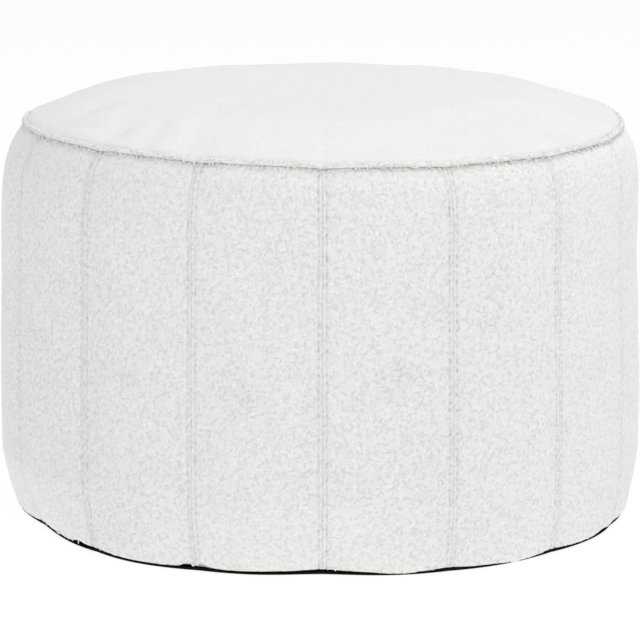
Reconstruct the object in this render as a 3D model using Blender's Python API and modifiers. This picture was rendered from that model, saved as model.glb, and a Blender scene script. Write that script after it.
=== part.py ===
"""Bean bag footstool: a low drum of looped fleece, filled with beads.

Sixteen side panels are sewn edge to edge round the filled bag, whose crown is the top panel.
A rolled welt covers the top seam, and a black base panel is turned up under the hem.
Metres, +Z up, origin on the floor under the middle. An angle of 0 faces the front (-Y) and
grows towards the right (+X).
"""

from math import atan2, cos, exp, hypot, pi, radians, remainder, sin

import bmesh
import bpy
from mathutils import Vector

# Driving dimensions, in metres.
BELLY_RADIUS = 0.2492  # at the vertical seams, half-way up the wall
SEAM_HEIGHT = 0.3030  # from the floor to the top seam
CROWN_HEIGHT = 0.0275  # how far the top panel rises above its seam
CROWN_POWER = 5.6  # the higher, the flatter the crown's middle
CLOTH = 0.0030  # thickness of the fleece
BASE_CLOTH = 0.0015  # thickness of the base fabric
WELT_RADIUS = 0.0026
GAP = 0.0003  # between pieces that are sewn together

# The wall draws in at both ends, more on one side than on the other.
SHOULDER_TUCK = 0.0168
SHOULDER_LOPSIDED = 0.16
SHOULDER_REACH = 0.0175
SHOULDER_REACH_LOPSIDED = 0.20
FOOT_TUCK = 0.0105
FOOT_REACH = 0.0400
FOOT_POWER = 1.5

# The beads slump unevenly, so the foot is drawn in more or less at places round the drum.
FOOT_WAVES = (
    # angle, half_width, more_tuck
    (radians(-66), radians(15), 0.0090),
    (radians(-34), radians(10), -0.0030),
    (radians(0), radians(10), 0.0080),
    (radians(32), radians(20), -0.0055),
    (radians(70), radians(15), -0.0020),
)

# The side panels and the seams between them.
PANELS = 16
FIRST_SEAM = radians(0.45)  # the seam at the front, off the middle
SEAM_DRIFT = radians(0.60)  # the front panels were cut a little wider
PANEL_BULGE = 0.0030  # how far a panel stands out between its seams
BULGE_ROUNDNESS = 0.8
BULGE_REACH = 0.0300  # the bulge dies away over this height at both ends
BULGE_LOST_AT_TOP = 0.75  # the share of it that is gone at the top seam
BULGE_LOST_AT_HEM = 0.50  # and at the hem
SEAM_SAG = 0.0012  # the top seam dips where a vertical seam meets it
SEAM_WAVES = ((1, -0.0015), (2, -0.0012))  # waves round the top seam, and their heights

# Soft creases in the top panel: each runs between two places on it, given as an angle in
# degrees and a share of the way from the middle to the seam.
CREASES = (
    # start_angle, start_share, end_angle, end_share, depth, half_width
    (-26.0, 0.95, -38.0, 0.45, 0.0022, 0.013),
    (-35.0, 0.96, -39.0, 0.78, 0.0018, 0.010),
    (-46.0, 0.90, -56.0, 0.68, 0.0020, 0.012),
    (-62.0, 0.93, -68.0, 0.78, 0.0016, 0.011),
    (56.0, 0.95, 65.0, 0.68, 0.0020, 0.013),
    (35.0, 0.94, 46.0, 0.72, 0.0012, 0.013),
)

# The hem of the side panels and the base panel under them.
HEM_HEIGHT = 0.0036
HEM_LIFT = 0.0012  # the hem rises where a vertical seam meets it
BASE_RIM_INSET = 0.0012  # the base's rim stands this far inside the face of the wall
BASE_RIM_DROP = 0.0006  # its edge is this far under the hem
BASE_RIM_BEND = 0.0050  # and it leaves the floor this far inside its edge

SHEEN = 0.3  # both cloths

# How finely the curved faces are divided.
STEPS_PER_PANEL = 5
WALL_SHARES = (0.0, 0.018, 0.05, 0.12, 0.26, 0.66, 0.82, 0.91, 0.96, 1.0)
CROWN_SHARES = (1.0, 0.97, 0.92, 0.84, 0.72, 0.55, 0.32, 0.0)
BASE_SHARES = (0.0, 0.45, 0.80, 1.0)
BASE_RIM_STEPS = 4

STEPS = PANELS * STEPS_PER_PANEL
SLOPE_STEP = 0.0005  # the wall's slope is measured over twice this height
MERGE_DISTANCE = 0.000001
SHARP_ANGLE = radians(50)  # an edge that turns more than this is shaded sharp


# ---- The form that every piece follows -------------------------------------------------

def seam_angle(turn):
    """The angle at a place round the drum, counted in panels from the front seam."""
    even = FIRST_SEAM + turn * 2 * pi / PANELS
    return even + SEAM_DRIFT * sin(even)


def across(turn):
    """0 at a vertical seam and 1 in the middle of a panel."""
    return sin(pi * (turn % 1.0))


def seam_height(turn):
    angle = seam_angle(turn)
    waves = sum(height * sin(count * angle) for count, height in SEAM_WAVES)
    return SEAM_HEIGHT + waves - SEAM_SAG * (1 - across(turn)) ** 2


def hem_height(turn):
    return HEM_HEIGHT + HEM_LIFT * (1 - across(turn)) ** 2


def foot_tuck(angle):
    waves = sum(more * exp(-(remainder(angle - middle, 2 * pi) / half_width) ** 2)
                for middle, half_width, more in FOOT_WAVES)
    return FOOT_TUCK + waves


def wall_radius(turn, z):
    """The radius of the wall's outer face at a place round the drum and a height."""
    angle = seam_angle(turn)
    side = sin(angle)
    below_seam = seam_height(turn) - z
    reach = SHOULDER_REACH * (1 - SHOULDER_REACH_LOPSIDED * side)
    shoulder = SHOULDER_TUCK * (1 - SHOULDER_LOPSIDED * side) * exp(-below_seam / reach)
    foot = foot_tuck(angle) * max(0.0, 1 - z / FOOT_REACH) ** FOOT_POWER
    lost = BULGE_LOST_AT_TOP * exp(-below_seam / BULGE_REACH)
    lost += BULGE_LOST_AT_HEM * exp(-z / BULGE_REACH)
    bulge = PANEL_BULGE * across(turn) ** BULGE_ROUNDNESS * (1 - lost)
    return BELLY_RADIUS - shoulder - foot + bulge


def wall_point(turn, share, inset=0.0):
    """A point of the wall, from the hem (share 0) to the top seam (share 1).

    inset moves it into the drum, square to the wall's slope.
    """
    low = hem_height(turn)
    z = low + share * (seam_height(turn) - low)
    rise = wall_radius(turn, z + SLOPE_STEP) - wall_radius(turn, z - SLOPE_STEP)
    slope = rise / (2 * SLOPE_STEP)
    square = hypot(1, slope)
    radius = wall_radius(turn, z) - inset / square
    return place(turn, radius, z + inset * slope / square)


def place(turn, radius, z):
    angle = seam_angle(turn)
    return Vector((radius * sin(angle), -radius * cos(angle), z))


def rim_radius(turn):
    """The radius of the wall's outer face at the top seam."""
    return wall_radius(turn, seam_height(turn))


def base_flat_radius(turn):
    """The base lies flat on the floor inside this radius."""
    return wall_radius(turn, hem_height(turn)) - BASE_RIM_INSET - BASE_RIM_BEND


def on_top(angle, share):
    """A place on the top panel seen from above."""
    radius = share * (BELLY_RADIUS - SHOULDER_TUCK)
    return Vector((radius * sin(angle), -radius * cos(angle)))


def crease_depth(spot):
    """How far the creases lower the top panel at a place seen from above."""
    total = 0.0
    for start_angle, start_share, end_angle, end_share, depth, half_width in CREASES:
        start = on_top(radians(start_angle), start_share)
        run = on_top(radians(end_angle), end_share) - start
        along = min(max((spot - start).dot(run) / run.length_squared, 0.0), 1.0)
        away = (spot - start - run * along).length
        total += depth * exp(-(away / half_width) ** 2)
    return total


def crown_point(turn, share):
    """A point of the top panel, from the middle (share 0) to its seam (share 1)."""
    edge = rim_radius(turn) - CLOTH
    foot = seam_height(turn) * share ** 2 + SEAM_HEIGHT * (1 - share ** 2)
    point = place(turn, edge * share, foot + CROWN_HEIGHT * (1 - share ** CROWN_POWER))
    if share < 1:
        point.z -= crease_depth(point.xy)
    return point


# ---- Making meshes ---------------------------------------------------------------------

def ring_stack(sections):
    """A skin through stacked rings, spun from a straight line and then shaped.

    sections holds one function for each ring, from turn to the point of the ring there. Rings
    that shrink to a point are merged, and what is left open is filled flat.
    """
    mesh = bmesh.new()
    line = [mesh.verts.new((1.0, 0.0, float(level))) for level in range(len(sections))]
    edges = [mesh.edges.new(pair) for pair in zip(line, line[1:])]
    bmesh.ops.spin(mesh, geom=line + edges, axis=(0, 0, 1), cent=(0, 0, 0),
                   angle=2 * pi, steps=STEPS, use_merge=True)
    for vertex in mesh.verts:
        step = round(atan2(vertex.co.y, vertex.co.x) / (2 * pi) * STEPS) % STEPS
        section = sections[round(vertex.co.z)]
        vertex.co = section(step / STEPS_PER_PANEL)
    bmesh.ops.remove_doubles(mesh, verts=mesh.verts[:], dist=MERGE_DISTANCE)
    return mesh


def close_and_face_out(mesh):
    bmesh.ops.holes_fill(mesh, edges=mesh.edges[:], sides=0)
    bmesh.ops.recalc_face_normals(mesh, faces=mesh.faces[:])


def finish(mesh, name, material):
    """Makes the object from a bmesh, shaded smooth."""
    data = bpy.data.meshes.new(name)
    mesh.to_mesh(data)
    mesh.free()
    data.shade_smooth()
    data.set_sharp_from_angle(angle=SHARP_ANGLE)
    return add(name, data, material)


def add(name, data, material):
    data.materials.append(material)
    thing = bpy.data.objects.new(name, data)
    footstool.objects.link(thing)
    return thing


def thicken(thing, thickness):
    """Gives an open sheet its thickness, on the side that faces away from its normals."""
    solid = thing.modifiers.new("Thickness", "SOLIDIFY")
    solid.thickness = thickness
    solid.offset = -1.0


def cloth_material(name, colour, roughness):
    material = bpy.data.materials.new(name)
    material.use_nodes = True
    shader = material.node_tree.nodes["Principled BSDF"]
    shader.inputs["Base Color"].default_value = (*colour, 1.0)
    shader.inputs["Roughness"].default_value = roughness
    shader.inputs["Metallic"].default_value = 0.0
    shader.inputs["Sheen Weight"].default_value = SHEEN
    return material


# ---- The pieces ------------------------------------------------------------------------

def make_filled_top_panel(fleece):
    """The top panel with the bag's filling under it, one solid that backs the side panels."""
    inset = CLOTH + GAP
    foot = [lambda turn: place(turn, base_flat_radius(turn) - inset, BASE_CLOTH + GAP)]
    wall = [lambda turn, share=share: wall_point(turn, share, inset) for share in WALL_SHARES]
    crown = [lambda turn, share=share: crown_point(turn, share) for share in CROWN_SHARES]
    mesh = ring_stack(foot + wall + crown)
    close_and_face_out(mesh)
    return finish(mesh, "filled_top_panel", fleece)


def make_side_panel(number, fleece):
    """One fleece panel of the wall, an open sheet between two seams, then thickened."""
    mesh = bmesh.new()
    bmesh.ops.create_grid(mesh, x_segments=STEPS_PER_PANEL, y_segments=len(WALL_SHARES) - 1,
                          size=0.5)
    half_gap = GAP / 2 / (2 * pi * BELLY_RADIUS / PANELS)
    for vertex in mesh.verts:
        column = round((vertex.co.x + 0.5) * STEPS_PER_PANEL)
        row = round((vertex.co.y + 0.5) * (len(WALL_SHARES) - 1))
        share = column / STEPS_PER_PANEL
        turn = number + min(max(share, half_gap), 1 - half_gap)
        vertex.co = wall_point(turn, WALL_SHARES[row])
    panel = finish(mesh, f"side_panel_{number + 1:02d}", fleece)
    thicken(panel, CLOTH)
    return panel


def make_top_welt(fleece):
    """The rolled edge that covers the top seam, a closed tube that follows the seam."""
    line = bpy.data.curves.new("top_welt", "CURVE")
    line.dimensions = "3D"
    line.bevel_depth = WELT_RADIUS
    line.bevel_resolution = 2
    spline = line.splines.new("POLY")
    spline.points.add(STEPS - 1)
    spline.use_cyclic_u = True
    for step, point in enumerate(spline.points):
        turn = step / STEPS_PER_PANEL
        middle = place(turn, rim_radius(turn) - CLOTH / 2, seam_height(turn) + WELT_RADIUS)
        point.co = (*middle, 1.0)
    return add("top_welt", line, fleece)


def base_rim_point(turn, bend):
    """A point of the base's rim, from the floor (bend 0) to its edge under the hem (pi / 2)."""
    radius = base_flat_radius(turn) + BASE_RIM_BEND * sin(bend)
    return place(turn, radius, (hem_height(turn) - BASE_RIM_DROP) * (1 - cos(bend)))


def make_base_panel(black):
    """The base: flat on the floor, with its rim turned up under the hem of the side panels."""
    flat = [lambda turn, share=share: place(turn, base_flat_radius(turn) * share, 0.0)
            for share in BASE_SHARES]
    bends = [pi / 2 * (step + 1) / BASE_RIM_STEPS for step in range(BASE_RIM_STEPS)]
    rim = [lambda turn, bend=bend: base_rim_point(turn, bend) for bend in bends]
    mesh = ring_stack(flat + rim)
    mesh.faces.ensure_lookup_table()
    mesh.normal_update()
    if mesh.faces[0].normal.z > 0:
        bmesh.ops.reverse_faces(mesh, faces=mesh.faces[:])
    panel = finish(mesh, "base_panel", black)
    thicken(panel, BASE_CLOTH)
    return panel


# ---- Build -----------------------------------------------------------------------------

for leftover in list(bpy.data.objects):
    bpy.data.objects.remove(leftover, do_unlink=True)

footstool = bpy.data.collections.new("bean_bag_footstool")
bpy.context.scene.collection.children.link(footstool)

white_fleece = cloth_material("white_fleece", (0.80, 0.79, 0.775), 0.95)
black_base_cloth = cloth_material("black_base_cloth", (0.012, 0.012, 0.013), 0.85)

make_filled_top_panel(white_fleece)
for panel_number in range(PANELS):
    make_side_panel(panel_number, white_fleece)
make_top_welt(white_fleece)
make_base_panel(black_base_cloth)
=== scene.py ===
import bmesh
import bpy
import numpy as np
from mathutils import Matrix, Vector
from mathutils.kdtree import KDTree


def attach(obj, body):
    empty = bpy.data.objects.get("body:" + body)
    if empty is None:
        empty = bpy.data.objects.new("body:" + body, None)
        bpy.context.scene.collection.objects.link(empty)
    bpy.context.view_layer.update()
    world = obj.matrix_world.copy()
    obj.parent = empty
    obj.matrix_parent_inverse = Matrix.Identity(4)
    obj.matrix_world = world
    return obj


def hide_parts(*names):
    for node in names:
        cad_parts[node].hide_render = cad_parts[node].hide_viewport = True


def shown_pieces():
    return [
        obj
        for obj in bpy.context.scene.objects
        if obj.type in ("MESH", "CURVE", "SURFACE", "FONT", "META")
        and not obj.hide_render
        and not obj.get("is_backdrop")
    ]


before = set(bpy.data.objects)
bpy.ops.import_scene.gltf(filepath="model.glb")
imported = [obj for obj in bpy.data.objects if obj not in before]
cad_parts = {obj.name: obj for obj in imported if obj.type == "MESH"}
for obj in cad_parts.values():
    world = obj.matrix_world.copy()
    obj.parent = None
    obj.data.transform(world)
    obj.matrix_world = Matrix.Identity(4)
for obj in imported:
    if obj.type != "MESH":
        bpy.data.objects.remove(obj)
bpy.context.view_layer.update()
mm = 0.001
fullTurn = 2 * np.pi
mergeDistance = 0.001 * mm
sharpAngle = np.radians(60)  # an edge that turns more than this stays crisp
print("frame loaded:", len(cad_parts), "nodes")


# The drum's form, close to that of its solids; the filled bag has settled a little inside them.
drum = {
    "belly": 0.2492,  # radius at the vertical seams, half-way up
    "seamHeight": 0.3030,
    "crownHeight": 0.0275, "crownPower": 5.6,  # a higher power is flatter in the middle
    "cloth": 0.0030, "gap": 0.0003,  # a side panel's thickness, and the room behind it
    # how far the wall draws in under the top seam and over the floor, and over what height
    "shoulderTuck": 0.0168, "shoulderLopsided": 0.16,
    "shoulderReach": 0.0175, "shoulderReachLopsided": 0.20,
    "footTuck": 0.0095, "footReach": 0.0520, "footPower": 1.3,
    "footWaves": (
        # angle in degrees, half-width in degrees, more tuck
        (-66, 15, 0.0090), (-34, 10, -0.0030), (0, 10, 0.0080), (32, 20, -0.0055),
        (70, 15, -0.0020), (57, 13, -0.0030),
    ),
    "panels": len([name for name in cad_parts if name.startswith("side_panel")]),
    "firstSeam": np.radians(0.45), "seamDrift": np.radians(0.60),
    # a panel's fullness between its seams, less of it near the top and the hem
    "bulge": 0.0030, "bulgeRoundness": 0.8, "bulgeReach": 0.0300,
    "bulgeLostAtTop": 0.75, "bulgeLostAtHem": 0.50,
    "seamSag": 0.0012,  # the top seam's dip at each vertical seam
    "seamWaves": ((1, -0.0015), (2, -0.0012)),  # waves round the top seam, and their heights
    "seamDip": 0.0030, "seamDipAt": (-104, 9),  # it sags here: angle and half-width in degrees
    # how far the wall has settled inwards, at which height and over what reach
    "settled": 0.0025, "settledHeight": 0.215, "settledReach": 0.065, "settledLopsided": 0.3,
    # how far the crown has sunk, at places from left to right
    "crownSettled": ((-0.150, 0), (0.045, 0.0032), (0.130, 0.0028), (0.200, 0.0006)),
    "hemHeight": 0.0036, "hemLift": 0.0012,
}
panelWidth = fullTurn * drum["belly"] / drum["panels"]
wallLength = drum["seamHeight"] - drum["hemHeight"]


def seamAngle(turn):
    even = drum["firstSeam"] + turn * fullTurn / drum["panels"]
    return even + drum["seamDrift"] * np.sin(even)


def turnAt(angle):
    # the place round the drum, counted in panels, where an angle lies; each pass comes closer
    even = angle
    for again in range(6):
        even = angle - drum["seamDrift"] * np.sin(even)
    return (even - drum["firstSeam"]) * drum["panels"] / fullTurn


def nearAngle(angle, middle, halfWidth):
    # 1 at an angle and dying away beside it; the last two are in degrees
    away = (np.degrees(angle) - middle + 180) % 360 - 180
    return np.exp(-(away / halfWidth) ** 2)


def across(turn):
    return np.abs(np.sin(np.pi * (turn % 1.0)))  # 0 at a seam, 1 mid-panel


def fromSeam(turn):
    return np.minimum(turn % 1.0, 1 - turn % 1.0) * panelWidth  # to the nearest vertical seam


def seamHeight(turn):
    waves = sum(height * np.sin(count * seamAngle(turn)) for count, height in drum["seamWaves"])
    dip = drum["seamDip"] * nearAngle(seamAngle(turn), *drum["seamDipAt"])
    return drum["seamHeight"] + waves - dip - drum["seamSag"] * (1 - across(turn)) ** 2


def hemHeight(turn):
    return drum["hemHeight"] + drum["hemLift"] * (1 - across(turn)) ** 2


def footTuck(angle):
    tuck = drum["footTuck"]
    for middle, halfWidth, more in drum["footWaves"]:
        tuck = tuck + more * nearAngle(angle, middle, halfWidth)
    return tuck


def wallRadius(turn, z):
    angle = seamAngle(turn)
    side = np.sin(angle)
    belowSeam = seamHeight(turn) - z
    reach = drum["shoulderReach"] * (1 - drum["shoulderReachLopsided"] * side)
    shoulder = drum["shoulderTuck"] * (1 - drum["shoulderLopsided"] * side)
    shoulder = shoulder * np.exp(-belowSeam / reach)
    foot = footTuck(angle) * np.maximum(0, 1 - z / drum["footReach"]) ** drum["footPower"]
    lost = drum["bulgeLostAtTop"] * np.exp(-belowSeam / drum["bulgeReach"])
    lost = lost + drum["bulgeLostAtHem"] * np.exp(-z / drum["bulgeReach"])
    bulge = drum["bulge"] * across(turn) ** drum["bulgeRoundness"] * (1 - lost)
    settled = np.exp(-((z - drum["settledHeight"]) / drum["settledReach"]) ** 2)
    settled = settled * drum["settled"] * (1 + drum["settledLopsided"] * side)
    return drum["belly"] - shoulder - foot + bulge - settled


def place(turn, radius, z):
    angle = seamAngle(turn)
    return np.stack([radius * np.sin(angle), -radius * np.cos(angle), z + 0 * angle], axis=-1)


def wallPoint(turn, share, inset=0.0):
    # a point of the wall, from the hem (share 0) to the top seam (share 1), inset square to it
    low = hemHeight(turn)
    z = low + share * (seamHeight(turn) - low)
    step = 0.5 * mm
    slope = (wallRadius(turn, z + step) - wallRadius(turn, z - step)) / (2 * step)
    square = np.hypot(1, slope)
    return place(turn, wallRadius(turn, z) - inset / square, z + inset * slope / square)


def rimRadius(turn):
    return wallRadius(turn, seamHeight(turn))


def result(made, name=None):
    # a node's output of that name, or its first one in use
    return next(socket for socket in made.outputs
                if socket.enabled and (name is None or socket.name == name))


def setInputs(tree, made, inputs):
    # each input is a value, an output to link from, or a node that gives its first output
    for key, value in inputs.items():
        socket = made.inputs[key] if isinstance(key, int) else \
            next(socket for socket in made.inputs if socket.enabled and socket.name == key)
        if isinstance(value, bpy.types.Node):
            value = result(value)
        if isinstance(value, bpy.types.NodeSocket):
            tree.links.new(value, socket)
        else:
            socket.default_value = value


def addNode(tree, kind, inputs=None, **settings):
    made = tree.nodes.new(kind)
    for name, value in settings.items():
        setattr(made, name, value)
    setInputs(tree, made, inputs or {})
    return made


def endTree(tree, geometry, given, smooth=True):
    # what each tree ends in: plain geometry in its material
    real = addNode(tree, "GeometryNodeRealizeInstances", {"Geometry": geometry})
    if smooth:
        real = addNode(tree, "GeometryNodeSetShadeSmooth", {"Geometry": real})
    painted = addNode(tree, "GeometryNodeSetMaterial", {
        "Geometry": real, "Material": given["Material"]})
    addNode(tree, "NodeGroupOutput", {"Geometry": painted})
    return tree


def newGeometryTree(name, inputs):
    # a tree with these named inputs and a material; returns it and what its inputs give
    tree = bpy.data.node_groups.new(name, "GeometryNodeTree")
    tree.interface.new_socket("Geometry", in_out="INPUT", socket_type="NodeSocketGeometry")
    for label, value in inputs.items():
        kind = "NodeSocketInt" if isinstance(value, int) else "NodeSocketFloat"
        tree.interface.new_socket(label, in_out="INPUT", socket_type=kind).default_value = value
    tree.interface.new_socket("Material", in_out="INPUT", socket_type="NodeSocketMaterial")
    tree.interface.new_socket("Geometry", in_out="OUTPUT", socket_type="NodeSocketGeometry")
    return tree, addNode(tree, "NodeGroupInput").outputs


def newObject(name, data):
    made = bpy.data.objects.new(name, data)
    bpy.context.scene.collection.objects.link(made)
    return made


def plainMesh(helper):
    # the mesh that a helper object's modifiers give; the helper itself goes
    graph = bpy.context.evaluated_depsgraph_get()
    mesh = bpy.data.meshes.new_from_object(helper.evaluated_get(graph), depsgraph=graph)
    bpy.data.objects.remove(helper)
    return mesh


def grow(source, tree, values, name):
    # runs a Geometry Nodes tree on a copy of the source and keeps its result as a plain mesh
    helper = newObject("helper", source.data)
    modifier = helper.modifiers.new("Nodes", "NODES")
    modifier.node_group = tree
    sockets = {item.name: item.identifier for item in tree.interface.items_tree
               if item.in_out == "INPUT"}
    for label, value in values.items():
        modifier[sockets[label]] = value
    mesh = plainMesh(helper)
    mesh.name = name
    return newObject(name, mesh)


def meshFrom(name, points, faces, pile=None, outward=None):
    # pile holds each point's share of pile, 1 where curls grow and 0 where none do, and the
    # fleece paints shade where it is low; outward holds the way that the pile rises there
    mesh = bpy.data.meshes.new(name)
    mesh.from_pydata(points.tolist(), [], faces)
    if pile is not None:
        mesh.attributes.new("pile", "FLOAT", "POINT").data.foreach_set("value", pile)
        ways = mesh.attributes.new("outward", "FLOAT_VECTOR", "POINT")
        ways.data.foreach_set("vector", outward.ravel())
    shaped = bmesh.new()
    shaped.from_mesh(mesh)
    bmesh.ops.remove_doubles(shaped, verts=shaped.verts[:], dist=mergeDistance)
    bmesh.ops.recalc_face_normals(shaped, faces=shaped.faces[:])
    shaped.to_mesh(mesh)
    shaped.free()
    mesh.shade_smooth()
    mesh.set_sharp_from_angle(angle=sharpAngle)
    return mesh


def ringFaces(low, high):
    # the faces between two closed rings of points, given by their numbers
    return np.stack([low, np.roll(low, -1), np.roll(high, -1), high], -1).tolist()


def keep(piece, material=None):
    # a finished piece: its material and the body that it rides on
    if material:
        piece.data.materials.clear()
        piece.data.materials.append(material)
    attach(piece, "root")
    return piece


def gradedSteps(length, fine, coarse, growth):
    # places along a length, close together at both ends and wider apart between
    half, step = [0.0], fine
    while half[-1] < length / 2:
        half.append(half[-1] + step)
        step = min(step * growth, coarse)
    half = np.array(half) * (length / 2 / half[-1])
    return np.concatenate([half, length - half[-2::-1]])


def linear(hexColour):
    # an sRGB hex value as a linear colour
    channels = [int(hexColour[at:at + 2], 16) / 255 for at in (1, 3, 5)]
    return (*[value / 12.92 if value <= 0.04045 else ((value + 0.055) / 1.055) ** 2.4
              for value in channels], 1.0)


def newMaterial(name):
    material = bpy.data.materials.new(name)
    material.use_nodes = True
    tree = material.node_tree
    return material, tree, tree.nodes["Principled BSDF"]


# Matt fibres with air between them: light goes a little way in and comes out again.
softFibres = {
    "Roughness": 0.95, "Specular IOR Level": 0.2, "Sheen Weight": 0.05, "Sheen Roughness": 0.6,
    "Subsurface Weight": 0.6, "Subsurface Radius": (1.0, 1.0, 1.0), "Subsurface Scale": 2 * mm,
}

# The pile lies in packed clumps, which the cloth's mesh and its material share.
clumps = {
    "sizes": (3.8 * mm, 5.8 * mm),  # two layers of clumps, each only partly outlined
    "sway": 2.0 * mm, "swayScale": 4 * mm,
    # a crevice comes and goes over this distance, where a noise lies between these two
    "shownScale": 3.2 * mm, "shownFrom": 0.46, "shownTo": 0.66,
    "apart": (0.4, 0.3),  # each layer reads a part of that noise this far from the others
    "height": 0.9 * mm, "creviceWidth": 1.1 * mm, "creviceShare": 0.8,
    "swellScale": 3.6 * mm,
}


def creviceField(tree, where, width):
    # 0 on the clumps of curls, 1 along the thin crevices that partly outline them
    sway = addNode(tree, "ShaderNodeTexNoise", {
        "Vector": where, "Scale": 1 / clumps["swayScale"], "Detail": 2.0})
    centred = addNode(tree, "ShaderNodeVectorMath", {
        0: result(sway, "Color"), 1: (0.5, 0.5, 0.5)}, operation="SUBTRACT")
    pushed = addNode(tree, "ShaderNodeVectorMath", {
        0: centred, "Scale": 2 * clumps["sway"]}, operation="SCALE")
    moved = addNode(tree, "ShaderNodeVectorMath", {0: where, 1: pushed})
    lines = []
    for layer, size in enumerate(clumps["sizes"]):
        edge = addNode(tree, "ShaderNodeTexVoronoi", {
            "Vector": moved, "Scale": 1 / size}, feature="DISTANCE_TO_EDGE")
        line = addNode(tree, "ShaderNodeMapRange", {
            "Value": edge, "From Min": 0.0, "From Max": width / size, "To Min": 1.0, "To Max": 0.0},
            interpolation_type="SMOOTHSTEP")
        along, up = clumps["apart"]
        aside = addNode(tree, "ShaderNodeVectorMath", {0: where, 1: (along * layer, 0.0, up)})
        comes = addNode(tree, "ShaderNodeTexNoise", {
            "Vector": aside, "Scale": 1 / clumps["shownScale"], "Detail": 1.0})
        shown = addNode(tree, "ShaderNodeMapRange", {
            "Value": comes, "From Min": clumps["shownFrom"], "From Max": clumps["shownTo"]},
            interpolation_type="SMOOTHSTEP")
        lines.append(addNode(tree, "ShaderNodeMath", {0: line, 1: shown}, operation="MULTIPLY"))
    return addNode(tree, "ShaderNodeMath", {0: lines[0], 1: lines[1]}, operation="MAXIMUM")


fleece = {
    "creviceWidth": 0.45 * mm,  # the line of painted shade along a crevice
    # painted highlights on curl tips here and there, where a noise lies between these two
    "highlightScale": 1.5 * mm, "highlightsFrom": 0.56, "highlightsTo": 0.70,
    # painted shade where the pile is low: in the stitch grooves and under the welt
    "pressedAndShaded": "#E0DEDB",
    "fibreScale": 1.6 * mm, "valleyWidth": 0.8 * mm, "valleyDepth": 0.8,
    "curlDark": "#EFEDEA", "curlLight": "#F8F7F5",
    "curlFibreScale": 1.4 * mm, "curlFibreDepth": 0.9 * mm,
}


def teddyFleece(name, light, tipHighlight, creviceShade, depth):
    # teddy fleece, a knitted polyester ground brushed into curls: matt and soft, with painted shade
    # in the thin crevices between clumps, painted highlights on tips here and there, and painted
    # shade where stitches press the pile flat and where no pile grows, as under the welt
    material, tree, shader = newMaterial(name)
    where = addNode(tree, "ShaderNodeAttribute", attribute_name="restPlace").outputs["Vector"]
    # painted shade along the thin crevices between clumps
    shade = creviceField(tree, where, fleece["creviceWidth"])
    # painted highlights on tips here and there
    specks = addNode(tree, "ShaderNodeTexNoise", {
        "Vector": where, "Scale": 1 / fleece["highlightScale"], "Detail": 1.0})
    tips = addNode(tree, "ShaderNodeMapRange", {
        "Value": specks, "From Min": fleece["highlightsFrom"], "From Max": fleece["highlightsTo"]})
    lit = addNode(tree, "ShaderNodeMix", {
        "Factor": tips, 6: linear(light), 7: linear(tipHighlight)}, data_type="RGBA")
    colour = addNode(tree, "ShaderNodeMix", {
        "Factor": shade, 6: lit, 7: linear(creviceShade)}, data_type="RGBA")
    # painted shade where stitches press the pile flat and where no pile grows
    covered = addNode(tree, "ShaderNodeAttribute", attribute_name="pile")
    pressedAndShaded = addNode(tree, "ShaderNodeMix", {
        "Factor": covered.outputs["Fac"], 6: linear(fleece["pressedAndShaded"]), 7: colour}, data_type="RGBA")
    fibres = addNode(tree, "ShaderNodeTexNoise", {
        "Vector": where, "Scale": 1 / fleece["fibreScale"], "Detail": 2.0, "Roughness": 0.5})
    valley = addNode(tree, "ShaderNodeMath", {
        0: creviceField(tree, where, fleece["valleyWidth"]), 1: -fleece["valleyDepth"]},
        operation="MULTIPLY")
    height = addNode(tree, "ShaderNodeMath", {0: fibres, 1: valley})
    bump = addNode(tree, "ShaderNodeBump", {"Height": height, "Strength": 1.0, "Distance": depth})
    setInputs(tree, shader, {"Base Color": pressedAndShaded, "Normal": bump, **softFibres})
    return material


def teddyFleeceCurls():
    # the curls of the same fleece, brushed and tumbled: each a little lighter or darker
    material, tree, shader = newMaterial("polyesterTeddyFleeceCurls")
    tone = addNode(tree, "ShaderNodeAttribute", attribute_name="tone")
    colour = addNode(tree, "ShaderNodeMix", {
        "Factor": tone.outputs["Fac"], 6: linear(fleece["curlDark"]), 7: linear(fleece["curlLight"])},
        data_type="RGBA")
    where = result(addNode(tree, "ShaderNodeTexCoord"), "Object")
    fibres = addNode(tree, "ShaderNodeTexNoise", {
        "Vector": where, "Scale": 1 / fleece["curlFibreScale"], "Detail": 3.0, "Roughness": 0.6})
    bump = addNode(tree, "ShaderNodeBump", {
        "Height": fibres, "Strength": 0.8, "Distance": fleece["curlFibreDepth"]})
    setInputs(tree, shader, {"Base Color": colour, "Normal": bump, **softFibres})
    return material


def spunThread():
    # spun polyester sewing thread in painted shade: greyer than the fleece, lighter and darker by its
    # plies
    material, tree, shader = newMaterial("spunPolyesterThreadPaintedShade")
    where = result(addNode(tree, "ShaderNodeTexCoord"), "Object")
    plies = addNode(tree, "ShaderNodeTexNoise", {"Vector": where, "Scale": 1 / (0.7 * mm)})
    colour = addNode(tree, "ShaderNodeMix", {
        "Factor": plies, 6: linear("#BCB9B4"), 7: linear("#CFCCC8")}, data_type="RGBA")
    setInputs(tree, shader, {"Base Color": colour, "Roughness": 0.6})
    return material


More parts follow.
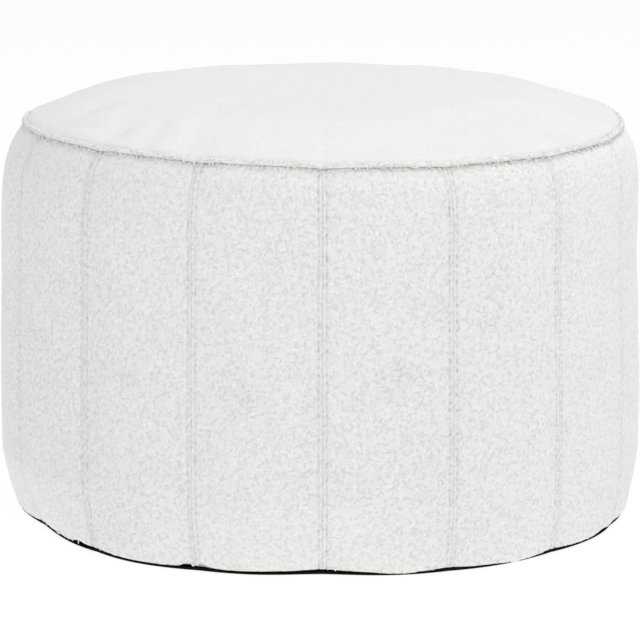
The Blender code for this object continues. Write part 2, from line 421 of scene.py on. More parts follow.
def blackBaseCloth():
    # black polyester plain weave, calendered: close to matt, with a pair of threads in 1.2 mm
    material, tree, shader = newMaterial("blackWovenPolyester")
    where = result(addNode(tree, "ShaderNodeTexCoord"), "Object")
    warp = addNode(tree, "ShaderNodeTexWave", {
        "Vector": where, "Scale": 1 / (3.8 * mm)}, bands_direction="X")
    weft = addNode(tree, "ShaderNodeTexWave", {
        "Vector": where, "Scale": 1 / (3.8 * mm)}, bands_direction="Y")
    weave = addNode(tree, "ShaderNodeMath", {
        0: result(warp, "Fac"), 1: result(weft, "Fac")}, operation="MULTIPLY")
    colour = addNode(tree, "ShaderNodeMix", {
        "Factor": weave, 6: linear("#050505"), 7: linear("#0D0D0E")}, data_type="RGBA")
    bump = addNode(tree, "ShaderNodeBump", {"Height": weave, "Strength": 0.5, "Distance": 0.2 * mm})
    setInputs(tree, shader, {
        "Base Color": colour, "Normal": bump, "Roughness": 0.95, "Specular IOR Level": 0.15})
    return material


# fleece with painted shade in its crevices and painted highlights on its tips; the top panel's copy
# paints both fainter, as the top lies washed out under the light from above
fleeceGround = teddyFleece("polyesterTeddyFleece", "#EBEAE8", "#F7F6F4", "#E1DFDC", 0.30 * mm)
topFleeceFaintPaintedShade = teddyFleece("topTeddyFleeceFaintPaintedShade", "#EBE9E7", "#EDEBE9", "#E6E4E2", 0.15 * mm)
fleeceCurls = teddyFleeceCurls()
# the thread's grey is painted shade of the stitch lines
threadPaintedShade = spunThread()
baseCloth = blackBaseCloth()


# The pile: curls that grow out of a cloth.
pile = {
    "spacing": 6.0 * mm, "curlLength": 5.6 * mm,
    "plumpness": 0.22,  # a curl's greatest radius for each unit of its length
    "flatness": 0.50,  # its height for each unit of its width
    "fullness": 0.6,  # under 1, a curl keeps its thickness nearer to its ends
    "arch": (-0.06, 0.14),  # heights of its ends and of its handles, for each unit of its length
    "bow": 0.83,  # how far aside its handles stand, for each unit of its bend
    "mostPerSquareMetre": 300000,
    "smallest": 0.75, "largest": 1.2,  # sizes, times the curl length
    "sunk": -0.4 * mm, "raised": 0.2 * mm,  # roots, from the face of the cloth
    "tilt": np.radians(6), "seed": 11,
}

# Each curl seen from above, in units of its length: it bends evenly between its two ends.
curlShapes = (
    # halfLength, bend
    (0.50, 0.12),
    (0.44, 0.36),
    (0.36, 0.52),
    (0.40, 0.08),
    (0.46, -0.28),
)


def buildPileTree():
    tree, given = newGeometryTree("fleecePile", {
        "Spacing": pile["spacing"], "Curl Length": pile["curlLength"],
        "Plumpness": pile["plumpness"], "Flatness": pile["flatness"], "Tilt": pile["tilt"],
        "Seed": pile["seed"]})
    along = result(addNode(tree, "GeometryNodeSplineParameter"), "Factor")
    swing = addNode(tree, "ShaderNodeMath", {0: along, 1: np.pi}, operation="MULTIPLY")
    bowed = addNode(tree, "ShaderNodeMath", {0: swing}, operation="SINE")
    rounded = addNode(tree, "ShaderNodeMath", {0: bowed, 1: pile["fullness"]}, operation="POWER")
    thick = addNode(tree, "ShaderNodeMath", {
        0: rounded, 1: given["Plumpness"]}, operation="MULTIPLY")
    section = addNode(tree, "GeometryNodeCurvePrimitiveCircle", {"Resolution": 6, "Radius": 1.0})
    shapes = addNode(tree, "GeometryNodeJoinGeometry")
    ends, handles = pile["arch"]
    for half, bend in curlShapes:
        near, far = -bend / 2, bend * pile["bow"]
        line = addNode(tree, "GeometryNodeCurvePrimitiveBezierSegment", {
            "Resolution": 8, "Start": (-half, near, ends), "End": (half, near, ends),
            "Start Handle": (-half / 2, far, handles), "End Handle": (half / 2, far, handles)})
        stepped = addNode(tree, "GeometryNodeResampleCurve", {"Curve": line, "Count": 5})
        tube = addNode(tree, "GeometryNodeCurveToMesh", {
            "Curve": stepped, "Profile Curve": section, "Scale": thick})
        closed = addNode(tree, "GeometryNodeMergeByDistance", {"Geometry": tube, "Distance": 0.01})
        curl = addNode(tree, "GeometryNodeGeometryToInstance", {"Geometry": closed})
        setInputs(tree, shapes, {"Geometry": curl})
    grows = addNode(tree, "GeometryNodeInputNamedAttribute", {"Name": "pile"}, data_type="FLOAT")
    roots = addNode(tree, "GeometryNodeDistributePointsOnFaces", {
        "Mesh": given["Geometry"], "Distance Min": given["Spacing"],
        "Density Max": pile["mostPerSquareMetre"], "Density Factor": result(grows, "Attribute"),
        "Seed": given["Seed"]}, distribute_method="POISSON")

    def chance(low, high, offset, kind="FLOAT"):
        # a random value for each curl; the offset keeps one apart from the next
        return addNode(tree, "FunctionNodeRandomValue", {
            "Min": low, "Max": high, "Seed": offset}, data_type=kind)

    lift = addNode(tree, "ShaderNodeVectorMath", {
        0: result(roots, "Normal"), "Scale": chance(pile["sunk"], pile["raised"], 1)},
        operation="SCALE")
    lifted = addNode(tree, "GeometryNodeSetPosition", {
        "Geometry": result(roots, "Points"), "Offset": lift})
    back = addNode(tree, "ShaderNodeMath", {0: given["Tilt"], 1: -1.0}, operation="MULTIPLY")
    spin = addNode(tree, "ShaderNodeCombineXYZ", {
        "X": chance(back, given["Tilt"], 2), "Y": chance(back, given["Tilt"], 3),
        "Z": chance(0.0, fullTurn, 4)})
    leaning = addNode(tree, "FunctionNodeEulerToRotation", {"Euler": spin})
    turned = addNode(tree, "FunctionNodeRotateRotation", {
        "Rotation": result(roots, "Rotation"), "Rotate By": leaning}, rotation_space="LOCAL")
    length = addNode(tree, "ShaderNodeMath", {
        0: chance(pile["smallest"], pile["largest"], 5), 1: given["Curl Length"]},
        operation="MULTIPLY")
    height = addNode(tree, "ShaderNodeMath", {
        0: length, 1: given["Flatness"]}, operation="MULTIPLY")
    size = addNode(tree, "ShaderNodeCombineXYZ", {"X": length, "Y": length, "Z": height})
    placed = addNode(tree, "GeometryNodeInstanceOnPoints", {
        "Points": lifted, "Instance": shapes, "Pick Instance": True,
        "Instance Index": chance(0, len(curlShapes) - 1, 6, "INT"), "Rotation": turned, "Scale": size})
    toned = addNode(tree, "GeometryNodeStoreNamedAttribute", {
        "Geometry": placed, "Name": "tone", "Value": chance(0.0, 1.0, 7)},
        data_type="FLOAT", domain="INSTANCE")
    return endTree(tree, toned, given)


pileTree = buildPileTree()


def buildClumpTree():
    # raises the face of a cloth into packed clumps, where its pile attribute allows
    tree, given = newGeometryTree("fleeceClumps", {"Height": clumps["height"]})
    where = addNode(tree, "GeometryNodeInputPosition")
    kept = addNode(tree, "GeometryNodeStoreNamedAttribute", {
        "Geometry": given["Geometry"], "Name": "restPlace", "Value": where},
        data_type="FLOAT_VECTOR", domain="POINT")
    fall = creviceField(tree, where, clumps["creviceWidth"])
    bulk = addNode(tree, "ShaderNodeTexNoise", {
        "Vector": where, "Scale": 1 / clumps["swellScale"], "Detail": 1.0})
    deep = addNode(tree, "ShaderNodeMath", {0: fall, 1: clumps["creviceShare"]}, operation="MULTIPLY")
    rise = addNode(tree, "ShaderNodeMath", {0: bulk, 1: deep}, operation="SUBTRACT")
    grows = addNode(tree, "GeometryNodeInputNamedAttribute", {"Name": "pile"}, data_type="FLOAT")
    height = addNode(tree, "ShaderNodeMath", {
        0: given["Height"], 1: result(grows, "Attribute")}, operation="MULTIPLY")
    amount = addNode(tree, "ShaderNodeMath", {0: rise, 1: height}, operation="MULTIPLY")
    outward = addNode(tree, "GeometryNodeInputNamedAttribute", {
        "Name": "outward"}, data_type="FLOAT_VECTOR")
    offset = addNode(tree, "ShaderNodeVectorMath", {
        0: result(outward, "Attribute"), "Scale": amount}, operation="SCALE")
    raised = addNode(tree, "GeometryNodeSetPosition", {"Geometry": kept, "Offset": offset})
    return endTree(tree, raised, given, smooth=False)


clumpTree = buildClumpTree()


def brushUp(name, mesh, height, material):
    # a cloth with its face raised into clumps
    plain = newObject(name + "Plain", mesh)
    raised = grow(plain, clumpTree, {"Height": height, "Material": material}, name)
    bpy.data.objects.remove(plain)
    return raised


def growPile(cloth, name, seed, sizes=None):
    values = {"Seed": pile["seed"] + seed, "Material": fleeceCurls, **(sizes or {})}
    return keep(grow(cloth, pileTree, values, name))


def growTufts(name, seed, rows, share, sizes):
    # ragged tufts along a seam or a hem, grown from a narrow band that is then taken away
    low = np.arange(len(rows[0]))
    mesh = bpy.data.meshes.new(name + "Band")
    mesh.from_pydata(np.concatenate(rows).tolist(), [], ringFaces(low, low + len(low)))
    grows = np.full(len(mesh.vertices), share)
    mesh.attributes.new("pile", "FLOAT", "POINT").data.foreach_set("value", grows)
    band = newObject(name + "Band", mesh)
    tufts = growPile(band, name, seed, sizes)
    bpy.data.objects.remove(band)
    return tufts


side = {
    "pileDepth": 1.7 * mm,  # the cloth's face lies this far inside the tips of its pile
    "stitchOffset": 2.9 * mm,  # each row of topstitching from its seam
    "stitchDepth": 0.8 * mm, "stitchWidth": 0.8 * mm,
    "shallow": 0.35,  # the share of that depth between two stitches
    "pressedAndShaded": 0.85,  # the share of the pile that a stitch presses away, which also sets the painted shade there
    "stripRise": 0.3 * mm, "stripEdge": 0.4 * mm,  # the cloth between the two rows stands up
    "drawIn": 0.3 * mm, "drawInReach": 13 * mm,  # the seam pulls the cloth in around it
    "overTop": 1.2 * mm, "overHem": 1.6 * mm,  # the cloth goes on this far past its solid
    "topDive": 0.4 * mm, "topDiveReach": 0.5 * mm,  # the top edge turns in under the welt
    "hemRoll": 1.6 * mm, "hemRollReach": 1.2 * mm,
    "hemReach": 5 * mm,  # over this height the cloth follows its uneven edge
    "hemEdge": (
        # angle and half-width in degrees, and how much lower the hem hangs there
        (-76, 12, 1.9 * mm), (-50, 2.0, -2.6 * mm), (-24, 1.1, -3.0 * mm),
        (-21, 0.9, -2.4 * mm), (14, 3.5, 1.7 * mm), (37, 4, 1.7 * mm), (62, 2.5, -2.2 * mm),
        (110, 6, 1.6 * mm), (150, 4, -1.2 * mm), (-140, 5, 1.6 * mm), (-115, 3, -1.2 * mm),
    ),
    "joint": 0.005 * mm,  # half the gap where two panels meet
    "thinnest": 0.4 * mm,  # the least cloth between its face and its back
    # steps of the front's mesh, how fast they grow, and how much coarser the back's mesh is
    "fine": 0.7 * mm, "coarse": 1.25 * mm, "growAcross": 1.12, "growUp": 1.2,
    "backEvery": 12,
}

stitching = {
    "pitch": 6.0 * mm, "length": 4.4 * mm, "radius": 0.28 * mm, "above": 0.1 * mm,
    "smallest": 0.6, "largest": 1.1,  # sizes, times the stitch length
    "thinEnds": 0.5, "seed": 5,
    "from": 0.012, "to": 0.988, "steps": 80,  # shares of the wall, from hem to top seam
}


def stitchPull(turn, share):
    # 1 in the middle of a stitch, less between two, and 0 away from the rows
    row = np.exp(-((fromSeam(turn) - side["stitchOffset"]) / side["stitchWidth"]) ** 2)
    dash = np.cos(np.pi * share * wallLength / stitching["pitch"]) ** 2
    return row * (side["shallow"] + (1 - side["shallow"]) * dash)


def seamRelief(turn, share):
    # how far the cloth's face stands out near a vertical seam, seen across it
    away = fromSeam(turn)
    between = 1 / (1 + np.exp((away - side["stitchOffset"]) / side["stripEdge"]))
    drawn = np.exp(-(away / side["drawInReach"]) ** 2)
    # the strip between the rows lies flat, where the fullness of two panels would meet in a fold
    atRow = np.sin(np.pi * side["stitchOffset"] / panelWidth)
    level = atRow ** drum["bulgeRoundness"] - across(turn) ** drum["bulgeRoundness"]
    strip = side["stripRise"] * between + drum["bulge"] * np.maximum(0, level)
    return strip - side["stitchDepth"] * stitchPull(turn, share) - side["drawIn"] * drawn


def solidSheet(name, front, back, frontPile, outward):
    # a closed sheet: a fine front, a back with every few rows and columns, and rims between
    rows, columns = front.shape[:2]
    every = side["backEvery"]
    keptRows = sorted({*range(0, rows, every), rows - 1})
    keptColumns = sorted({*range(0, columns, every), columns - 1})
    points = [front.reshape(-1, 3), back[np.ix_(keptRows, keptColumns)].reshape(-1, 3)]
    share = np.concatenate([frontPile.ravel(), np.zeros(len(points[1]))])
    ways = np.concatenate([outward.reshape(-1, 3), np.zeros_like(points[1])])

    def onFront(row, column):
        return row * columns + column

    def onBack(row, column):
        return rows * columns + keptRows.index(row) * len(keptColumns) + keptColumns.index(column)

    faces = [(onFront(row, column), onFront(row, column + 1), onFront(row + 1, column + 1),
              onFront(row + 1, column)) for row in range(rows - 1) for column in range(columns - 1)]
    for low, high in zip(keptRows, keptRows[1:]):
        for near, far in zip(keptColumns, keptColumns[1:]):
            faces.append((onBack(low, near), onBack(high, near), onBack(high, far), onBack(low, far)))
        for edge, away in ((0, 1), (columns - 1, -1)):
            ring = [onFront(row, edge) for row in range(low, high + 1)]
            ring += [onBack(high, edge), onBack(low, edge)]
            faces.append(ring[::away])
    for near, far in zip(keptColumns, keptColumns[1:]):
        for edge, away in ((0, -1), (rows - 1, 1)):
            ring = [onFront(edge, column) for column in range(near, far + 1)]
            ring += [onBack(edge, far), onBack(edge, near)]
            faces.append(ring[::away])
    return meshFrom(name, np.concatenate(points), faces, share, ways)


def makeSidePanel(number):
    halfGap = side["joint"] / panelWidth
    fine, coarse = side["fine"], side["coarse"]
    acrossSteps = gradedSteps(panelWidth, fine, coarse, side["growAcross"]) / panelWidth
    low, high = -side["overHem"], wallLength + side["overTop"]
    upSteps = low + gradedSteps(high - low, fine, coarse, side["growUp"])
    turn = number + np.clip(acrossSteps, halfGap, 1 - halfGap)[None, :]
    share = (upSteps / wallLength)[:, None]
    fromTop, fromHem = high - share * wallLength, share * wallLength - low
    inset = side["pileDepth"] - seamRelief(turn, share)
    inset = inset + side["topDive"] * np.exp(-fromTop / side["topDiveReach"])
    inset = inset + side["hemRoll"] * np.exp(-fromHem / side["hemRollReach"])
    edge = sum(lower * nearAngle(seamAngle(turn), middle, halfWidth)
               for middle, halfWidth, lower in side["hemEdge"])
    share = share - edge * np.exp(-fromHem / side["hemReach"]) / wallLength
    turn, share, inset = np.broadcast_arrays(turn, share, inset)
    front = swell(wallPoint(turn, share, inset))
    back = wallPoint(turn, share, np.maximum(drum["cloth"], inset + side["thinnest"]))
    grows = 1 - side["pressedAndShaded"] * stitchPull(turn, share)
    name = f"sidePanel{number + 1:02d}"
    mesh = solidSheet(name, front, back, grows, place(turn, 1.0, 0.0))
    panel = brushUp(name, mesh, clumps["height"], fleeceGround)
    keep(panel)
    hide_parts(f"side_panel_{number + 1:02d}")
    return panel


# The top panel, one form with the filled bag under it.
top = {
    "cells": 200,  # across the round panel
    "clumpHeight": 0.3 * mm,
    "pileDepth": 0.3 * mm,
    "edgeDrop": 0.42, "edgeReach": 3.2 * mm,  # its edge rolls down to the welt
    "lift": 4.7 * mm, "liftReach": 11 * mm,  # the padding fills the fold behind the welt
    # angles and half-widths in degrees: no padding at the fold, more where it swells
    "foldAt": (-70, 12), "foldShare": 0.8, "swellAt": (86, 16), "swellShare": 0.45,
    "wallShares": (1.0, 0.96, 0.88, 0.70, 0.40, 0.15, 0.05, 0.0),  # rings down its wall
}

# Soft creases in the top panel, between places given by an angle and a share of the radius.
creases = (
    # startAngle, startShare, endAngle, endShare, depth, halfWidth
    (-26.0, 0.95, -38.0, 0.45, 0.0022, 0.013),
    (-35.0, 0.96, -39.0, 0.78, 0.0018, 0.010),
    (-46.0, 0.90, -56.0, 0.68, 0.0020, 0.012),
    (-62.0, 0.93, -68.0, 0.78, 0.0016, 0.011),
    (56.0, 0.95, 65.0, 0.68, 0.0034, 0.011),
    (35.0, 0.94, 46.0, 0.72, 0.0024, 0.011),
)


def onTop(angle, share):
    radius = share * (drum["belly"] - drum["shoulderTuck"])
    return np.array([radius * np.sin(angle), -radius * np.cos(angle)])


def creaseDepth(spots):
    total = np.zeros(spots.shape[:-1])
    for startAngle, startShare, endAngle, endShare, depth, halfWidth in creases:
        start = onTop(np.radians(startAngle), startShare)
        run = onTop(np.radians(endAngle), endShare) - start
        along = np.clip((spots - start) @ run / (run @ run), 0, 1)
        away = np.linalg.norm(spots - start - along[..., None] * run, axis=-1)
        total += depth * np.exp(-(away / halfWidth) ** 2)
    return total


def crownPoint(turn, share):
    edge = rimRadius(turn) - drum["cloth"]
    foot = seamHeight(turn) * share ** 2 + drum["seamHeight"] * (1 - share ** 2)
    points = place(turn, edge * share, foot + drum["crownHeight"] * (1 - share ** drum["crownPower"]))
    points[..., 2] -= creaseDepth(points[..., :2]) * (share < 1)
    places, depths = zip(*drum["crownSettled"])  # it has sunk most right of the middle
    points[..., 2] -= np.interp(points[..., 0], places, depths) * (1 - share ** 4)
    return points


def discGrid(cells):
    # a square grid squeezed into a round one: angle and share of the radius at each point
    x, y = np.meshgrid(np.linspace(-1, 1, cells + 1), np.linspace(-1, 1, cells + 1))
    wide = np.abs(x) > np.abs(y)
    radius = np.where(wide, x, y)
    safe = np.where(radius == 0, 1, radius)
    turned = np.where(wide, np.pi / 4 * y / safe, np.pi / 2 - np.pi / 4 * x / safe)
    x, y = radius * np.cos(turned), radius * np.sin(turned)
    return np.arctan2(x, -y), np.hypot(x, y)


def bagMesh(name, cells, lift):
    # the crown, the skin under the side panels and the base, as one closed form
    angle, share = discGrid(cells)
    share = np.minimum(share, 1.0)
    turn = turnAt(angle)
    crown = crownPoint(turn, share)
    fromRim = (1 - share) * rimRadius(turn)
    fold = top["foldShare"] * nearAngle(angle, *top["foldAt"])
    fold = fold - top["swellShare"] * nearAngle(angle, *top["swellAt"])
    lift = lift * (1 - fold) * np.exp(-(fromRim / top["liftReach"]) ** 2)
    lift = lift * (1 - top["edgeDrop"] * np.exp(-(fromRim / top["edgeReach"]) ** 2))
    crown[..., 2] += lift - top["pileDepth"]
    crown = swell(crown)
    grid = np.arange((cells + 1) ** 2).reshape(cells + 1, cells + 1)
    faces = np.stack([grid[:-1, :-1], grid[:-1, 1:], grid[1:, 1:], grid[1:, :-1]], -1)
    faces = faces.reshape(-1, 4).tolist()
    rim = np.concatenate([grid[0, :-1], grid[:-1, -1], grid[-1, :0:-1], grid[:0:-1, 0]])
    rimTurn = turn.ravel()[rim]
    points = [crown.reshape(-1, 3)]
    lower, last = rim, len(points[0])
    inset = drum["cloth"] + drum["gap"]
    for wallShare in top["wallShares"]:
        points.append(wallPoint(rimTurn, wallShare, inset))
        ring = last + np.arange(len(rim))
        faces += ringFaces(lower, ring)
        lower, last = ring, last + len(rim)
    faces.append(lower[::-1].tolist())
    grows = np.concatenate([np.ones(crown[..., 0].size), np.zeros(last - crown[..., 0].size)])
    outward = np.zeros((len(grows), 3)) + (0.0, 0.0, 1.0)
    return meshFrom(name, np.concatenate(points), faces, grows, outward)


def makeTopPanel():
    mesh = bagMesh("topPanel", top["cells"], top["lift"])
    # the top's fleece, with fainter painted shade and highlights
    panel = brushUp("topPanel", mesh, top["clumpHeight"], topFleeceFaintPaintedShade)
    keep(panel)
    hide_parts("filled_top_panel")
    return panel


# The welt over the top seam.
welt = {
    "radius": 0.0026, "around": 12, "along": 600, "pileDepth": 0.7 * mm,
    "clumpHeight": 0.3 * mm, "above": -0.5 * mm,
    "pile": {"Spacing": 3.2 * mm, "Curl Length": 4.4 * mm, "Flatness": 0.4},
    "tufts": {"Spacing": 1.9 * mm, "Curl Length": 3.2 * mm, "Tilt": np.radians(25)},
    "pileFrom": -0.7,  # no pile, and so painted shade, where it faces the cloth: the sine of its angle there
    # the tufts' band: how far it starts under the seam and inside the wall, and ends over it
    "bandUnder": 1.6 * mm, "bandInside": 1.0 * mm, "bandOver": 0.8 * mm, "bandOut": 0.2 * mm,
    "tuftShare": 0.7, "pileSeed": 200, "tuftSeed": 300,
}


def makeTopWelt():
    turn = np.linspace(0, drum["panels"], welt["along"], endpoint=False)[:, None]
    bend = np.linspace(0, fullTurn, welt["around"], endpoint=False)[None, :]
    radius = welt["radius"] - welt["pileDepth"]
    reach = rimRadius(turn) - drum["cloth"] / 2 + radius * np.cos(bend)
    height = seamHeight(turn) + radius + welt["above"] + radius * np.sin(bend)
    turn = np.broadcast_to(turn, reach.shape)
    points = place(turn, reach, height)
    grid = np.arange(points[..., 0].size).reshape(points.shape[:2])
    ahead = np.roll(grid, -1, 0)
    faces = np.stack([grid, ahead, np.roll(ahead, -1, 1), np.roll(grid, -1, 1)], -1)
    grows = np.broadcast_to(np.sin(bend) > welt["pileFrom"], points.shape[:2]).ravel().astype(float)
    outward = place(turn, np.cos(bend) + 0 * turn, np.sin(bend))
    faces = faces.reshape(-1, 4).tolist()
    mesh = meshFrom("topWelt", points.reshape(-1, 3), faces, grows, outward)
    roll = brushUp("topWelt", mesh, welt["clumpHeight"], fleeceGround)
    keep(roll)
    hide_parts("top_welt")
    growPile(roll, "weltPile", welt["pileSeed"], welt["pile"])
    turn = turn[:, 0]
    rows = [wallPoint(turn, 1 - welt["bandUnder"] / wallLength, welt["bandInside"]),
            place(turn, rimRadius(turn) + welt["bandOut"], seamHeight(turn) + welt["bandOver"])]
    growTufts("seamTufts", welt["tuftSeed"], rows, welt["tuftShare"], welt["tufts"])
    return roll


# The base cloth lies on the floor, and its rim turns up inside the hem.
base = {
    "cloth": 0.0015, "rimInset": 0.0030, "rimDrop": 0.0018, "rimBend": 0.0032,
    "around": 320, "rimSteps": 6,
    "flatShares": (0.15, 0.4, 0.7, 0.9, 0.97, 1.0),  # rings of the flat part, to its radius
}


def makeBasePanel():
    turn = np.linspace(0, drum["panels"], base["around"], endpoint=False)
    flat = wallRadius(turn, hemHeight(turn)) - base["rimInset"] - base["rimBend"]
    rings = [place(turn, flat * share, 0.0) for share in base["flatShares"]]
    bends = np.linspace(0, np.pi / 2, base["rimSteps"] + 1)[1:]
    lift = hemHeight(turn) - base["rimDrop"]
    for bend in bends:
        rings.append(place(turn, flat + base["rimBend"] * np.sin(bend), lift * (1 - np.cos(bend))))
    thin = base["rimBend"] - base["cloth"]
    for bend in bends[::-1]:
        rise = lift - (lift - base["cloth"]) * np.cos(bend)
        rings.append(place(turn, flat + thin * np.sin(bend), rise))
    rings.append(place(turn, flat, base["cloth"]))
    count = base["around"]
    faces = [list(range(count))[::-1]]
    for level in range(len(rings) - 1):
        low = level * count + np.arange(count)
        faces += ringFaces(low, low + count)
    faces.append((low + count).tolist())
    panel = newObject("basePanel", meshFrom("basePanel", np.concatenate(rings), faces))
    keep(panel, baseCloth)
    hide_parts("base_panel")
    return panel


# The pile at the hem hangs raggedly over the edge of the base.
hem = {
    "tufts": {"Spacing": 3.0 * mm, "Curl Length": 3.4 * mm, "Tilt": np.radians(12)},
    "around": 640, "inside": 1.6 * mm, "from": 1.0 * mm, "hang": 0.2 * mm,
    "tuftShare": 0.3, "seed": 400,
}


def makeHemTufts():
    turn = np.linspace(0, drum["panels"], hem["around"], endpoint=False)
    rows = [wallPoint(turn, up / wallLength, hem["inside"]) for up in (hem["from"], -hem["hang"])]
    return growTufts("hemTufts", hem["seed"], rows, hem["tuftShare"], hem["tufts"])


def buildStitchTree():
    # topstitching down the vertical seams: single stitches along each row
    tree, given = newGeometryTree("topstitching", {
        "Pitch": stitching["pitch"], "Stitch Length": stitching["length"],
        "Thread Radius": stitching["radius"]})
    rows = addNode(tree, "GeometryNodeMeshToCurve", {"Mesh": given["Geometry"]})
    spots = addNode(tree, "GeometryNodeCurveToPoints", {
        "Curve": rows, "Length": given["Pitch"]}, mode="LENGTH")
    half = addNode(tree, "ShaderNodeMath", {
        0: given["Stitch Length"], 1: 0.5}, operation="MULTIPLY")
    other = addNode(tree, "ShaderNodeMath", {
        0: given["Stitch Length"], 1: -0.5}, operation="MULTIPLY")
    line = addNode(tree, "GeometryNodeCurvePrimitiveLine", {
        "Start": addNode(tree, "ShaderNodeCombineXYZ", {"Z": other}),
        "End": addNode(tree, "ShaderNodeCombineXYZ", {"Z": half})})
    finer = addNode(tree, "GeometryNodeResampleCurve", {"Curve": line, "Count": 3})
    along = result(addNode(tree, "GeometryNodeSplineParameter"), "Factor")
    swing = addNode(tree, "ShaderNodeMath", {0: along, 1: np.pi}, operation="MULTIPLY")
    bowed = addNode(tree, "ShaderNodeMath", {0: swing}, operation="SINE")
    full = addNode(tree, "ShaderNodeMath", {0: bowed, 1: stitching["thinEnds"]}, operation="MAXIMUM")
    section = addNode(tree, "GeometryNodeCurvePrimitiveCircle", {
        "Resolution": 3, "Radius": given["Thread Radius"]})
    stitch = addNode(tree, "GeometryNodeCurveToMesh", {
        "Curve": finer, "Profile Curve": section, "Scale": full, "Fill Caps": True})
    size = addNode(tree, "FunctionNodeRandomValue", {
        "Min": stitching["smallest"], "Max": stitching["largest"], "Seed": stitching["seed"]},
        data_type="FLOAT")
    placed = addNode(tree, "GeometryNodeInstanceOnPoints", {
        "Points": result(spots, "Points"), "Rotation": result(spots, "Rotation"),
        "Instance": stitch, "Scale": size})
    return endTree(tree, placed, given)


def makeTopstitching():
    share = np.linspace(stitching["from"], stitching["to"], stitching["steps"])
    points, edges = [], []
    for number in range(drum["panels"]):
        for way in (-1, 1):
            turn = number + way * side["stitchOffset"] / panelWidth
            inset = side["pileDepth"] - seamRelief(turn, share) - stitching["above"]
            start = len(points) * len(share)
            points.append(swell(wallPoint(turn + 0 * share, share, inset)))
            edges += [(start + at, start + at + 1) for at in range(len(share) - 1)]
    mesh = bpy.data.meshes.new("stitchRows")
    mesh.from_pydata(np.concatenate(points).tolist(), edges, [])
    rows = newObject("stitchRows", mesh)
    stitches = grow(rows, buildStitchTree(), {"Material": threadPaintedShade}, "topstitching")
    bpy.data.objects.remove(rows)
    return keep(stitches)


# The beads press the sewn bag outwards: the bag is simulated as cloth under pressure.
filling = {
    "cells": 72,  # across the crown, before it is meshed again
    "voxel": 6 * mm,
    "pressure": 4.0, "frames": 20, "stiffness": 60.0, "quality": 4,
    "slack": 0.006,  # the cloth is cut this share larger than the form it starts from
    # it starts this far inside its final form, on the wall and in the middle of the crown
    "wallSmaller": 1.5 * mm, "crownSmaller": 7.5 * mm,
    "fullerFrom": 0.85,  # beyond this share of the radius the crown starts a little outside
    "seamHold": 5 * mm, "easeReach": 18 * mm,  # stitches hold it along the seams
    "heldWithin": 0.02 * mm,  # a point that starts this close to its final form is held
    "crownEdge": 1 * mm,  # points above this much under the top seam belong to the crown
    "cap": 6 * mm,  # no point moves further than this
    "smoothings": 10,
    "evening": 1 * mm,  # the larger, the more evenly the three nearest points count
}


def startInside(points):
    # how far inside its final form each point of the bag's skin starts; 0 along the seams
    angle = np.arctan2(points[:, 0], -points[:, 1])
    turn = turnAt(angle)
    z = points[:, 2]
    share = np.hypot(points[:, 0], points[:, 1]) / rimRadius(turn)
    crown = (z > seamHeight(turn) - filling["crownEdge"]) & (share < 1)
    fromRim = (1 - share) * rimRadius(turn)
    fromEdges = np.minimum(seamHeight(turn) - z, z - hemHeight(turn))
    away = np.where(crown, fromRim, np.minimum(fromSeam(turn), fromEdges))
    free = 1 - np.exp(-(np.maximum(0, away - filling["seamHold"]) / filling["easeReach"]) ** 2)
    crownSmaller = filling["crownSmaller"] * (1 - (share / filling["fullerFrom"]) ** 4)
    return free * np.where(crown, crownSmaller, filling["wallSmaller"])


def gather(items, name):
    # the named vector of each of a mesh's items, as one array
    values = np.empty(len(items) * 3)
    items.foreach_get(name, values)
    return values.reshape(-1, 3)


def simulateFilling():
    # where the filling moves the bag's skin: a search tree of its points and their offsets
    bag = newObject("bag", bagMesh("bag", filling["cells"], 0.0))
    coarse = bag.modifiers.new("Remesh", "REMESH")
    coarse.mode = "VOXEL"
    coarse.voxel_size = filling["voxel"]
    mesh = plainMesh(bag)
    count = len(mesh.vertices)
    rest = gather(mesh.vertices, "co")
    normals = gather(mesh.vertex_normals, "vector")
    inside = startInside(rest)
    start = rest - inside[:, None] * normals
    mesh.vertices.foreach_set("co", start.ravel())
    skin = newObject("skin", mesh)
    held = skin.vertex_groups.new(name="held")
    held.add(np.flatnonzero(np.abs(inside) < filling["heldWithin"]).tolist(), 1.0, "REPLACE")
    cloth = skin.modifiers.new("Cloth", "CLOTH")
    cloth.collision_settings.use_collision = False
    settings = cloth.settings
    settings.quality = filling["quality"]
    settings.tension_stiffness = settings.compression_stiffness = filling["stiffness"]
    settings.vertex_group_mass = "held"
    settings.use_pressure = True
    settings.uniform_pressure_force = filling["pressure"]
    settings.shrink_min = settings.shrink_max = -filling["slack"]
    settings.effector_weights.gravity = 0
    scene = bpy.context.scene
    for frameNumber in range(1, filling["frames"] + 1):
        scene.frame_set(frameNumber)
    graph = bpy.context.evaluated_depsgraph_get()
    moved = gather(skin.evaluated_get(graph).data.vertices, "co") - start
    far = np.linalg.norm(moved, axis=1, keepdims=True)
    moved = moved * np.minimum(1, filling["cap"] / np.maximum(far, 1e-9))
    offsets = start + moved - rest
    ends = np.empty(len(mesh.edges) * 2, dtype=int)
    mesh.edges.foreach_get("vertices", ends)
    one, other = ends.reshape(-1, 2).T
    ties = np.bincount(one, minlength=count) + np.bincount(other, minlength=count)
    for smoothing in range(filling["smoothings"]):
        total = np.zeros_like(offsets)
        np.add.at(total, one, offsets[other])
        np.add.at(total, other, offsets[one])
        offsets = 0.5 * offsets + 0.5 * total / ties[:, None]  # half-way to its neighbours' mean
    print("filling:", count, "points moved by", round(far.mean() / mm, 2), "mm on average")
    scene.frame_set(1)
    bpy.data.objects.remove(skin)
    tree = KDTree(count)
    for index, point in enumerate(rest):
        tree.insert(point, index)
    tree.balance()
    return tree, offsets


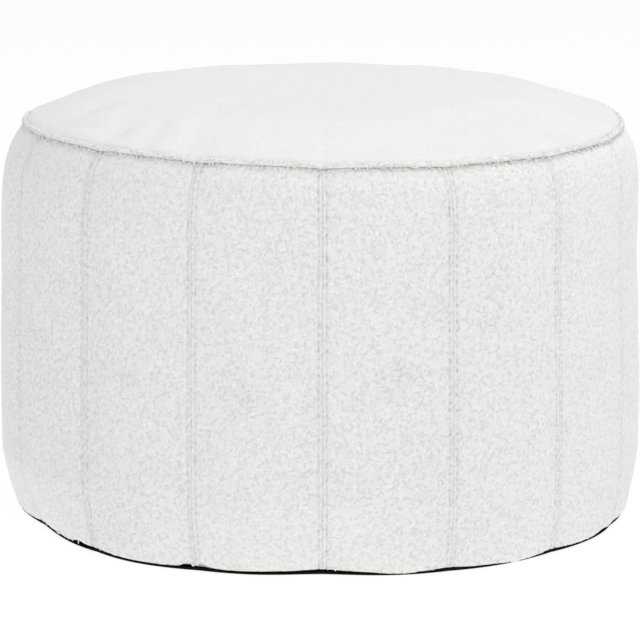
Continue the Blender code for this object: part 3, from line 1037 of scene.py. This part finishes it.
def swell(points):
    # moves points of the cloth as the filling under them moves it
    if bagSkin is None:
        return points
    tree, offsets = bagSkin
    moved = points.reshape(-1, 3).copy()
    for index, point in enumerate(moved):
        near = tree.find_n(point, 3)  # each a place, its number and how far away it is
        weights = np.array([1 / (hit[2] + filling["evening"]) for hit in near])
        moved[index] += weights @ offsets[[hit[1] for hit in near]] / weights.sum()
    return moved.reshape(points.shape)


bagSkin = None
bagSkin = simulateFilling()
print("filling done")
makeTopPanel()
print("top panel done")
for panelNumber in range(drum["panels"]):
    makeSidePanel(panelNumber)
print("side panels done")
makeTopWelt()
makeTopstitching()
makeHemTufts()
makeBasePanel()
print("welt, stitches, hem and base done")


studio = {
    "worldStrength": 0.44, "backdrop": 1.0,
    "floorSize": 40, "floorGlow": 0.90, "floorColour": "#6A6A6A",
    "softboxes": (
        # name, place, where it aims, size and watts
        ("rightBox", (1.5, -2.5, 1.1), (0, 0, 0.15), (1.2, 1.6), 22.5),
        ("leftBox", (-2.2, -1.4, 1.2), (0, 0, 0.15), (1.2, 1.6), 13),
        ("topBox", (0.5, 0.2, 2.4), (0, 0, 0.2), (1.6, 1.6), 25.5),
    ),
}
camera = {"from": (0.0, -2.9453, 0.7402), "at": (0.0, 0.0, 0.1441), "lens": 215.3, "sensor": 36.0}


def turnTo(made, place, aim):
    # stands an object at a place and turns it to look at another
    made.location = place
    made.rotation_euler = (Vector(aim) - Vector(place)).to_track_quat("-Z", "Y").to_euler()


def makeStudio():
    bpy.ops.mesh.primitive_plane_add(size=studio["floorSize"], location=(0, 0, 0))
    floor = bpy.context.object
    floor.name = "floor"
    # a white paper sweep, lit until its grain is gone, which glows a little to stay even
    material, tree, shader = newMaterial("whitePaperSweep")
    setInputs(tree, shader, {
        "Base Color": linear(studio["floorColour"]), "Roughness": 1.0, "Specular IOR Level": 0.0,
        "Emission Color": (1, 1, 1, 1), "Emission Strength": studio["floorGlow"]})
    floor.data.materials.append(material)
    floor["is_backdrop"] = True
    world = bpy.data.worlds.new("studio")
    bpy.context.scene.world = world
    world.use_nodes = True
    tree = world.node_tree
    tree.nodes.clear()
    seen = addNode(tree, "ShaderNodeLightPath")
    strength = addNode(tree, "ShaderNodeMix", {
        "Factor": seen.outputs["Is Camera Ray"], 2: studio["worldStrength"], 3: studio["backdrop"]},
        data_type="FLOAT")
    glow = addNode(tree, "ShaderNodeBackground", {"Color": (1, 1, 1, 1), "Strength": strength})
    addNode(tree, "ShaderNodeOutputWorld", {"Surface": glow})


def softbox(name, place, aim, size, watts):
    light = bpy.data.lights.new(name, "AREA")
    light.shape = "RECTANGLE"
    light.size, light.size_y = size
    light.energy = watts
    box = newObject(name, light)
    turnTo(box, place, aim)
    box.visible_camera = False


makeStudio()
for row in studio["softboxes"]:
    softbox(*row)
lens = bpy.data.cameras.new("camera")
lens.lens, lens.sensor_width = camera["lens"], camera["sensor"]
lens.clip_start, lens.clip_end = 0.1, 100
eye = newObject("camera", lens)
turnTo(eye, camera["from"], camera["at"])
bpy.context.scene.camera = eye
bpy.context.scene.view_settings.view_transform = "Standard"
print("studio done")

triangles = {piece.name: sum(len(face.vertices) - 2 for face in piece.data.polygons)
             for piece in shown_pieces()}
fullest = max(triangles, key=triangles.get)
print("triangles:", sum(triangles.values()), "and most in", fullest, triangles[fullest])
